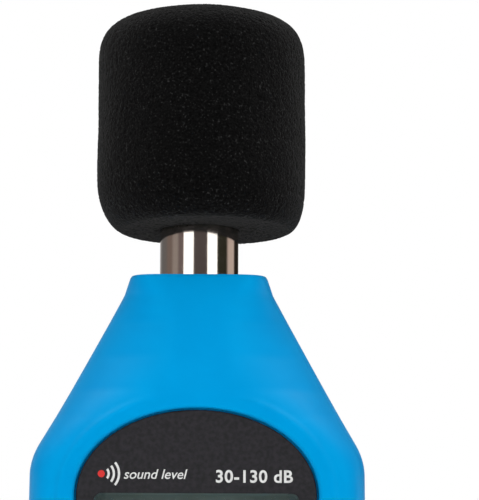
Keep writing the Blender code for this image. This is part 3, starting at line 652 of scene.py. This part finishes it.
def inside_form():
    return case_form(INNER, 6.0, 4.0, 48)


def neck_hole():
    """The hole in the neck that the barrel stands in, with a small countersink at its mouth."""
    radius, mouth, foot, head = MIC_RADIUS + GAP, MIC_RADIUS + GAP + 0.35, 103, 125
    return made(add_turned, [(0, foot), (radius, foot), (radius, CASE_TOP - 0.3), (mouth, CASE_TOP + 0.05),
                             (mouth, head), (0, head)])


def recess():
    """The cutter for the face plate's recess, which flares to give it a rounded lip."""
    lip_start = -CASE_HALF_DEPTH + LIP
    rings = [(plate_outline(GAP), RECESS_FLOOR)]
    for turn in (math.radians(90 * i / LIP_STEPS) for i in range(LIP_STEPS + 1)):
        outline = plate_outline(GAP + LIP * (1 - math.cos(turn)))
        rings.append((outline, lip_start - (LIP + 0.1) * math.sin(turn)))
    return made(add_prism, rings + [(plate_outline(GAP + LIP + 0.5), -16.0)])


def window_and_key_holes():
    room = 2 * GAP
    holes = made(add_prism, [(rounded_box(LENS_HIGH.x + room, LENS_LOW.z - room, LENS_HIGH.z + room, 1.5), y)
                             for y in (-16, -8)])
    for x, z, radius in KEY_HOLES:
        add_bore(holes, x, z, [(radius, -16)], -8)
    return holes


def front_shell():
    outer = case_form(OUTER, 5.0, 0.5, 250, -1, ridge)
    posts, pilots = bmesh.new(), window_and_key_holes()
    board_front = corners_of("main_board")[0].y
    for x, z in CASE_SCREWS:
        add_bore(posts, x, z, [(CASE_POST, POSTS_START)], 6.2, 24)
        add_bore(pilots, x, z, [(CASE_PILOT, -7.5)], 8, 16)
    for x, z in BOARD_SCREWS:
        add_bore(posts, x, z, [(BOARD_POST, POSTS_START)], board_front - GAP, 20)
        add_bore(pilots, x, z, [(BOARD_PILOT, -10.6)], -4, 16)
    return carved(outer, (CUT, inside_form()), (CUT, made(add_box, (-40, -PARTING, -9), (40, 40, 130))),
                  (JOIN, posts), (CUT, recess()), (CUT, pilots), (CUT, neck_hole()))


finished("case_front", front_shell(), ABS, "case", ["front_shell"])


# ---------------------------------------------------------------- face plate and lens
# A thin polycarbonate overlay, screen printed charcoal on its back and textured on its face, which gives it
# a fine dry sparkle. It is stuck into the recess, and the clear acrylic lens is let into its window.

OVERLAY = Finish("textured_charcoal_overlay", "201F23", 0.45, **{"Specular IOR Level": 0.25})
OVERLAY.mottle(0.7, "18181B", "262429", detail=5.0).grain(0.25, 0.012, 0.8)
BEVEL = 0.15
plate_front, plate_back = PLATE_LOW.y, PLATE_HIGH.y
plate = made(add_prism, [(plate_outline(-BEVEL), plate_front), (plate_outline(), plate_front + BEVEL),
                         (plate_outline(), plate_back)])
openings = made(add_prism, [(rounded_box(LENS_HIGH.x + GAP, LENS_LOW.z - GAP, LENS_HIGH.z + GAP, 1.2), y)
                            for y in (-16, -10)])
for x, z, radius in KEY_HOLES:
    add_bore(openings, x, z, [(radius, -16)], -10)
finished("face_plate_overlay", carved(plate, (CUT, openings)), OVERLAY, "case",
         ["face_plate"])

# Cast acrylic: clear, with a hard gloss. Thin enough to be drawn as a film that is mostly see-through.
ACRYLIC = Finish("clear_cast_acrylic", "101414", 0.04, Alpha=0.08, IOR=1.49)
ACRYLIC.polish(8.0, 0.03, 0.07)
lens_outline = rounded_box(LENS_HIGH.x, LENS_LOW.z, LENS_HIGH.z, 1.0)
lens_face = rounded_box(LENS_HIGH.x - BEVEL, LENS_LOW.z + BEVEL, LENS_HIGH.z - BEVEL, 0.9)
lens = made(add_prism, [(lens_face, LENS_LOW.y), (lens_outline, LENS_LOW.y + BEVEL),
                        (lens_outline, LENS_HIGH.y)])
finished("display_lens_window", lens, ACRYLIC, "case", ["display_lens"])

# The prints on the plate: a sound symbol with a red dot, the kind of instrument, and its range.
RED_INK = Finish("red_screen_ink", "D8231F", 0.5).mottle(0.8, "D01F1C", "DE2A25")
RED_INK.grain(0.2, 0.004, 0.4)
SYMBOL_X, SYMBOL_Z = -14.7, 83.75
symbol = bmesh.new()
for radius in (1.1, 1.9, 2.7):
    add_band(symbol, SYMBOL_X, SYMBOL_Z, radius, 0.36, -40, 40, plate_front)
bmesh.ops.recalc_face_normals(symbol, faces=symbol.faces)
words = [lettering("sound level", 1.55, -6.5, 83.0, plate_front, lean=0.25, weight=0.015),
         lettering("30-130 dB", 1.95, 8.9, 82.5, plate_front, weight=0.06, spread=1.08)]
finished("face_prints", add_all(symbol, words), WHITE_INK, "case")
dot = made(add_round, SYMBOL_X - 0.05, SYMBOL_Z, 0.55, plate_front, 24)
finished("face_print_dot", dot, RED_INK, "case")


# ---------------------------------------------------------------- rear shell
# The back half of the case, moulded like the front. It holds the battery bay, the bosses for the case
# screws, the tripod thread and the small port to the calibration trimmer.

COVER_LOW, COVER_HIGH = corners_of("battery_cover")
COVER_FOOT, COVER_HEAD, COVER_HALF_WIDTH = 12.5, 71.5, COVER_HIGH.x
TRIPOD_Z = centre_of("tripod_insert")[1]
COVER_SCREW_Z = centre_of("cover_screw")[1]
TRIMMER = centre_of("trimmer_rotor")
HOOKS = [(-11.0, -8.0), (8.0, 11.0)]
CASE_BOSS, CASE_HEAD_HOLE, TRIPOD_BOSS, TRIPOD_HOLE = 3.6, 2.9, 6.4, 4.8                 # radii
COVER_BOSS, COVER_INSERT_HOLE, COVER_SCREW_HOLE, TRIMMER_PORT = 5.4, 2.55, 4.2, 1.5      # radii
BACKING, BAY_WALLS = ((-20.6, 10.6, 7.4), (20.6, 12.6, 72.0)), ((-19.0, -0.3, 10.8), (19.0, 11.0, 62.2))
BAY, COVER_SEAT = ((-17.6, 0.9, 12.0), (17.6, 20.0, 61.0)), 11.9
TAB_WAYS = [(-11.3, 60.3), (11.3, 12.7)]     # where the contacts' tabs go through the bay's floor


def rear_shell():
    outer = case_form(OUTER, 5.0, 0.9, 160, 1)
    bosses, holes = bmesh.new(), bmesh.new()
    for x, z in CASE_SCREWS:
        add_bore(bosses, x, z, [(CASE_BOSS, 6.5)], 12.8, 24)
        add_bore(holes, x, z, [(CASE_PILOT, 5.0), (CASE_HEAD_HOLE, 8.0)], sides=32)
    add_bore(bosses, 0, TRIPOD_Z, [(TRIPOD_BOSS, 5.9)], 12.9, 40)
    add_bore(bosses, 0, COVER_SCREW_Z, [(COVER_BOSS, 4.9)], 11.4, 32)
    add_bore(holes, 0, TRIPOD_Z, [(TRIPOD_HOLE, 6.6)], sides=48)
    add_bore(holes, 0, COVER_SCREW_Z, [(COVER_INSERT_HOLE, 5.5), (COVER_SCREW_HOLE, 10.6)])
    add_bore(holes, *TRIMMER, [(TRIMMER_PORT, 5.0)], sides=24)
    for left, right in HOOKS:
        add_box(holes, (left - 0.3, 9.8, COVER_FOOT - 2.1), (right + 0.3, 12.1, COVER_FOOT + 4.1))
    for x, z in TAB_WAYS:
        add_box(holes, (x - 2.0, -2.0, z - 0.9), (x + 2.0, 2.0, z + 0.9))
    rebate = rounded_box(COVER_HALF_WIDTH + GAP, COVER_FOOT - GAP, COVER_HEAD + GAP, 3.3)
    return carved(outer, (CUT, inside_form()), (CUT, made(add_box, (-40, -40, -9), (40, PARTING, 130))),
                  (JOIN, made(add_box, *BAY_WALLS)), (JOIN, made(add_box, *BACKING)), (JOIN, bosses),
                  (CUT, made(add_box, *BAY)), (CUT, made(add_prism, [(rebate, COVER_SEAT), (rebate, 20.0)])),
                  (CUT, holes), (CUT, neck_hole()))


finished("case_rear", rear_shell(), ABS, "case", ["rear_shell"])

# The tripod insert: turned brass, pressed in while the boss was hot, with a quarter-inch thread in its bore.
BRASS = Finish("turned_brass", "B8923F", 0.3, 1.0).mottle(2.5, "AD8638", "C29B47")
BRASS.grain(0.3, 0.003, 0.4, stretch=(1, 30, 1))
insert_low, insert_high = corners_of("tripod_insert")
INSERT_RADIUS, THREAD_MINOR, THREAD_MAJOR, THREAD_MOUTH, PITCH, CREST = 4.5, 2.6, 3.15, 3.2, 1.27, 0.16
thread = [(THREAD_MINOR, insert_low.y), (INSERT_RADIUS, insert_low.y), (INSERT_RADIUS, insert_high.y),
          (THREAD_MOUTH, insert_high.y)]
y = insert_high.y - 0.6
while y - PITCH > insert_low.y + 0.3:
    thread += [(THREAD_MINOR, y), (THREAD_MINOR, y - CREST), (THREAD_MAJOR, y - PITCH / 2),
               (THREAD_MINOR, y - PITCH + CREST)]
    y -= PITCH
thread_place = Matrix.Translation((0, 0, TRIPOD_Z)) @ ALONG_Y
finished("tripod_thread_insert", made(add_turned, thread, thread_place, 56), BRASS,
         "case", ["tripod_insert"], sharp=25)
dress(BRASS, "cover_insert", "trimmer_rotor")


# ---------------------------------------------------------------- cells and contacts
# Three AAA cells: a steel can in a printed shrink film, bare at both ends. Their contacts are stamped from
# nickel-plated spring steel, and the conical springs are wound from the same wire.

CONTACTS = Finish("nickel_plated_spring_steel", "BDB8AE", 0.24, 1.0).polish(1.5, 0.18, 0.34)
dress(CONTACTS, "terminal_plus", "terminal_minus", "bridge_top", "bridge_bottom",
      *(f"cell_spring_{i}" for i in range(1, 4)))

# Glossy shrink film, printed green with one pale band. The middle cell stands on its head.
CELL_LENGTH = 44
for i, upright in ((1, True), (2, False), (3, True)):
    FILM = Finish(f"printed_cell_film_{i}", "2F6B5A", 0.3)
    low, high = corners_of(f"cell_{i}")
    height = node(FILM.tree, "ShaderNodeSeparateXYZ", {}, {"Vector": FILM.place}).outputs["Z"]
    foot = low.z if upright else high.z
    head = foot + (CELL_LENGTH if upright else -CELL_LENGTH)
    share = node(FILM.tree, "ShaderNodeMapRange", {"From Min": foot * MM, "From Max": head * MM},
                 {"Value": height})
    FILM.colour(share.outputs["Result"], (0.0, "B9BABB"), (0.018, "2B6353"), (0.70, "D9DAD8"),
                (0.73, "2B6353"), (0.955, "B9BABB"), stepped=True)
    FILM.polish(4.0, 0.22, 0.36)
    dress(FILM, f"cell_{i}")


# ---------------------------------------------------------------- battery cover
# A moulded ABS door whose back follows the rear shell. Two hooks hold its foot, one captive screw its head,
# and six grooves give the thumb a hold.

GROOVES, GROOVES_FOOT, GROOVE_PITCH, GROOVE_HALF_LENGTH, GROOVE_RADIUS = 6, 50.0, 2.0, 8.0, 0.45


def battery_cover():
    outer = case_form(OUTER, 5.0, 0.9, 160, 1)
    outline = rounded_box(COVER_HALF_WIDTH, COVER_FOOT, COVER_HEAD, 3.0)
    necks, hooks, grooves = bmesh.new(), bmesh.new(), bmesh.new()
    for left, right in HOOKS:
        add_box(necks, (left, 11.0, COVER_FOOT + 0.3), (right, 13.0, COVER_FOOT + 2.0))
        add_box(hooks, (left + 0.1, 10.5, COVER_FOOT - 1.7), (right - 0.1, 11.6, COVER_FOOT + 1.8))
    far_end = 2 * GROOVE_HALF_LENGTH - GROOVE_RADIUS
    rod = arc((0, GROOVE_RADIUS), GROOVE_RADIUS, -90, 0, 4) + arc((0, far_end), GROOVE_RADIUS, 0, 90, 4)
    for i in range(GROOVES):
        z = GROOVES_FOOT + GROOVE_PITCH * i
        place = (Matrix.Translation((-GROOVE_HALF_LENGTH, CASE_HALF_DEPTH + 0.05, z))
                 @ Matrix.Rotation(math.pi / 2, 4, "Y"))
        add_turned(grooves, [(max(r, 0), h) for r, h in rod], place, 20)
    return carved(outer, (KEEP, made(add_prism, [(outline, 12.2), (outline, 20.0)])), (JOIN, necks),
                  (JOIN, hooks), (JOIN, made(add_bore, 0, COVER_SCREW_Z, [(3.6, 10.95)], 12.9, 32)),
                  (CUT, made(add_bore, 0, COVER_SCREW_Z, [(1.4, 9.0), (2.8, 12.1)])),
                  (CUT, grooves))


finished("battery_door", battery_cover(), ABS, "battery_cover", ["battery_cover"])


# ---------------------------------------------------------------- screws
# Cold-headed steel, zinc plated, with a cross recess. The case screws and the cover's screw are driven from
# the back, and the board screws hold the main board to the front shell.

ZINC = Finish("zinc_plated_steel", "A9ABAD", 0.3, 1.0).mottle(1.2, "9FA2A5", "B3B4B3")
ZINC.polish(0.8, 0.22, 0.4).grain(0.3, 0.002, 0.4)


def screw(name, head_radius, head_height, shank_radius, pitch):
    """A pan-head screw along Y, with its head towards +Y, a ringed thread and a cross recess."""
    (x, z), tip, top = centre_of(name), corners_of(name)[0].y, corners_of(name)[1].y
    core, seat, edge = shank_radius * 0.72, top - head_height, 0.5
    y = tip + 0.8
    profile = [(0, tip), (core, y)]
    while y + pitch < seat - 0.4:
        profile += [(core, y), (shank_radius, y + pitch / 2)]
        y += pitch
    profile += [(core, y), (core, seat), (head_radius, seat)]
    profile += arc((head_radius - edge, top - edge), edge, 0, 90, 4) + [(0, top)]
    body = made(add_turned, profile, Matrix.Translation((x, 0, z)) @ ALONG_Y, 28)
    across, wide, depth = head_radius * 0.62, head_radius * 0.13, head_height * 0.62
    bars = [made(add_box, (x - a, top - depth, z - b), (x + a, top + 1, z + b))
            for a, b in ((across, wide), (wide, across))]
    return carved(body, *((CUT, bar) for bar in bars))


# Each kind: its names, its body, its head's radius and height, its shank's radius, and its thread's pitch.
for names, body, *sizes in (([f"case_screw_{i}" for i in range(1, 5)], "case", 2.4, 1.6, 1.1, 0.9),
                            ([f"board_screw_{i}" for i in range(1, 5)], "case", 1.7, 1.2, 0.7, 0.6),
                            (["cover_screw"], "battery_cover", 2.4, 1.2, 1.1, 0.5)):
    for name in names:
        finished(f"{name}_driven", screw(name, *sizes), ZINC, body, [name])


# ---------------------------------------------------------------- windscreen
# Open-cell polyurethane foam, cut and ground to a plump cylinder with a bore for the barrel. Black, dry and
# light-eating, with pores well under a millimetre and a few struts that catch the light.

SCREEN_LOW, SCREEN_HIGH = corners_of("windscreen")
SCREEN_RADIUS = SCREEN_HIGH.x
PORE, PORE_DEPTH, LUMP, LUMP_DEPTH = 0.75, 0.2, 7.0, 0.12
SKIN_SPACING, BORE_SPACING, SCREEN_SIDES = 0.24, 1.2, 420
SET_ASIDE, FOOT_ASIDE, FOOT_TILT = 0.25, 0.7, 0.06     # it sits a little off the axis, its foot more so
CROWN_RADIUS, CROWN_HEIGHT, FULLNESS = 16.85, 9.6, 2 / 3.2
FOOT_WIDTH, FOOT_HEIGHT, FOOT_RAISED = 3.7, 8.2, 0.45


def along_line(points, spacing):
    """A line through points, with a point at every spacing."""
    points = np.array(points)
    travelled = np.concatenate([[0], np.cumsum(np.hypot(*np.diff(points, axis=0).T))])
    even = np.linspace(0, travelled[-1], max(2, round(travelled[-1] / spacing) + 1))
    return list(zip(np.interp(even, travelled, points[:, 0]), np.interp(even, travelled, points[:, 1])))


def windscreen():
    """The foam's outline from the crown down to the foot and up the bore, spun, then given its pores."""
    bore, bore_top, mouth = MIC_RADIUS + 0.08, grid_high.z + GAP, 0.2
    foot, crown_foot = SCREEN_LOW.z + FOOT_RAISED, SCREEN_HIGH.z - CROWN_HEIGHT
    quarter = [math.radians(90 * i / 60) for i in range(61)]
    skin = [(CROWN_RADIUS * math.sin(a) ** FULLNESS, crown_foot + CROWN_HEIGHT * abs(math.cos(a)) ** FULLNESS)
            for a in quarter[:-1]] + [(CROWN_RADIUS, crown_foot)]
    skin += [(SCREEN_RADIUS - FOOT_WIDTH * (1 - math.cos(a)), foot + FOOT_HEIGHT * (1 - math.sin(a)))
             for a in quarter]
    skin = along_line([*skin, (bore + mouth, foot)], SKIN_SPACING)
    lip = arc((bore + mouth, foot + mouth), mouth, 270, 180, 4)[1:]
    inside = along_line([lip[-1], (bore, bore_top)], BORE_SPACING)[1:] + [(bore / 2, bore_top), (0, bore_top)]
    foam = made(add_turned, [*skin, *lip, *inside], sides=SCREEN_SIDES)
    bmesh.ops.recalc_face_normals(foam, faces=foam.faces)
    foam.normal_update()
    moves = []
    for vert in foam.verts:
        at = vert.co
        if math.hypot(at.x, at.y) < bore + 0.2:
            continue
        nearest = noise.voronoi(at / PORE)[0]
        pit = max(0.0, 1 - 2.2 * nearest[0])
        strut = min(1.0, max(0.0, nearest[1] - nearest[0]) * 4)
        lump = LUMP_DEPTH * (noise.noise(at / LUMP) - 0.5)
        moves.append((vert, vert.normal * (lump - PORE_DEPTH * (0.6 * pit + 0.4 * strut))))
    for vert, move in moves:
        vert.co += move
    for vert in foam.verts:
        below = max(0.0, 1 - (vert.co.z - foot) / FOOT_HEIGHT)
        if math.hypot(vert.co.x, vert.co.y) > bore + 1:
            vert.co.x += SET_ASIDE + FOOT_ASIDE * below ** 2
        vert.co.z -= FOOT_TILT * vert.co.y * below
    return foam


FOAM = Finish("black_open_cell_foam", "0A0A0A", 1.0, **{"Specular IOR Level": 0.0, "Sheen Weight": 0.075})
# The lightest specks in the foam's colour are painted highlights: glints where its struts catch the light.
FOAM.colour(FOAM.noise(0.35, detail=3.0), (0.35, "040404"), (0.58, "0D0D0D"), (0.64, "151515"),
            (0.72, "303030"))
FOAM.grain(0.3, 0.2, 1.0, detail=3.0)
foam_piece = finished("foam_windscreen", windscreen(), FOAM, "windscreen", ["windscreen"], sharp=180)


# ---------------------------------------------------------------- floor, lights and camera
# A plain white studio: a pale floor, two tall soft boxes whose strips show in the barrel, a bright ceiling,
# and grey walls that give the barrel its dark strips. The camera stands level with the body and looks up.

scene = bpy.context.scene
scene.view_settings.view_transform = "Standard"

FLOOR_SIZE = 6000
floor_shape = bmesh.new()
bmesh.ops.create_grid(floor_shape, x_segments=1, y_segments=1, size=FLOOR_SIZE / 2 * MM)
floor_mesh = bpy.data.meshes.new("floor")
floor_shape.to_mesh(floor_mesh)
floor_shape.free()
floor = bpy.data.objects.new("floor", floor_mesh)
scene.collection.objects.link(floor)
PAPER = Finish("pale_paper_floor", "F4F4F3", 0.9).mottle(400, "F2F2F1", "F6F6F5")
floor_mesh.materials.append(PAPER.material)

world = bpy.data.worlds.new("white_studio")
scene.world = world
world.use_nodes = True
tree = world.node_tree
tree.nodes.clear()
direction = node(tree, "ShaderNodeTexCoord").outputs["Generated"]
along = node(tree, "ShaderNodeSeparateXYZ", {}, {"Vector": direction})
outward = node(tree, "ShaderNodeMath", {"operation": "MULTIPLY"}, {0: along.outputs["Y"]})
outward.inputs[1].default_value = -1.0
azimuth = node(tree, "ShaderNodeMath", {"operation": "ARCTAN2"},
               {0: along.outputs["X"], 1: outward.outputs["Value"]})
turned = node(tree, "ShaderNodeMapRange", {"From Min": -math.pi, "From Max": math.pi},
              {"Value": azimuth.outputs["Value"]})
# The walls' shade, from behind the meter round its left, its front (0 degrees) and its right.
WALLS = [(-180, "FFFFFF"), (-170, "CFCFCF"), (-158, "A8A8A8"), (-146, "848484"), (-137, "706F6F"),
         (-113, "736F6D"), (-105, "7F716B"), (-90, "7F716B"), (-80, "9F958F"), (-68, "9F958F"),
         (-60, "776A69"), (-50, "776A69"), (-14, "574F4E"), (24, "574F4E"), (58, "313127"), (88, "313127"),
         (97, "CFBEB4"), (121, "CFBEB4"), (128, "2A2520"), (162, "2A2520"), (172, "FFFFFF"), (180, "FFFFFF")]
walls = node(tree, "ShaderNodeValToRGB", {}, {"Fac": turned.outputs["Result"]},
             [((angle + 180) / 360, code) for angle, code in WALLS])
above = node(tree, "ShaderNodeMapRange", {"From Min": 0.2, "From Max": 0.4}, {"Value": along.outputs["Z"]})
overhead = node(tree, "ShaderNodeMapRange", {"From Min": 0.7, "From Max": 0.8}, {"Value": along.outputs["Z"]})
ceiling = node(tree, "ShaderNodeMix", {"data_type": "RGBA", "A": (0.11, 0.11, 0.11, 1), "B": (2, 2, 2, 1)},
               {"Factor": overhead.outputs["Result"]})
surround = node(tree, "ShaderNodeMix", {"data_type": "RGBA"},
                {"Factor": above.outputs["Result"], "A": walls.outputs["Color"],
                 "B": ceiling.outputs["Result"]})
seen = node(tree, "ShaderNodeLightPath").outputs["Is Camera Ray"]
backdrop = node(tree, "ShaderNodeMix", {"data_type": "RGBA", "B": (1, 1, 1, 1)},
                {"Factor": seen, "A": surround.outputs["Result"]})
lit = node(tree, "ShaderNodeBackground", {"Strength": 1.0}, {"Color": backdrop.outputs["Result"]})
node(tree, "ShaderNodeOutputWorld", {}, {"Surface": lit.outputs["Background"]})


def soft_box(name, azimuth, elevation, distance, width, height, power, aim_z=95):
    """A rectangular soft light. Azimuth 0 is the display's side, and plus is to the right."""
    a, e = math.radians(azimuth), math.radians(elevation)
    light = bpy.data.lights.new(name, "AREA")
    light.shape, light.size, light.size_y, light.energy = "RECTANGLE", width * MM, height * MM, power
    holder = bpy.data.objects.new(name, light)
    outward = Vector((math.sin(a) * math.cos(e), -math.cos(a) * math.cos(e), math.sin(e)))
    holder.location = (outward * distance + Vector((0, 0, aim_z))) * MM
    holder.rotation_mode = "QUATERNION"
    holder.rotation_quaternion = outward.to_track_quat("Z", "Y")
    holder.visible_camera = False
    scene.collection.objects.link(holder)


soft_box("left_soft_box", -31, 8, 3000, 1567, 3667, 36.7)
soft_box("right_soft_box", 40, 8, 3000, 1600, 3667, 35.6)

VIEW_HEIGHT = 80.906         # how much of the meter the view takes in, at the microphone's axis
CAMERA_AT, CAMERA_AIM, ROLL = Vector((6.5, -400, 75)), Vector((6.5, 0, 120.2)), 0.25
camera_data = bpy.data.cameras.new("camera")
camera_data.sensor_width = 36
camera_data.lens = camera_data.sensor_width * (CAMERA_AIM - CAMERA_AT).length / VIEW_HEIGHT
camera = bpy.data.objects.new("camera", camera_data)
camera.location = CAMERA_AT * MM
camera.rotation_mode = "QUATERNION"
camera.rotation_quaternion = ((CAMERA_AIM - CAMERA_AT).to_track_quat("-Z", "Y")
                              @ Matrix.Rotation(math.radians(ROLL), 3, "Z").to_quaternion())
scene.collection.objects.link(camera)
scene.camera = camera
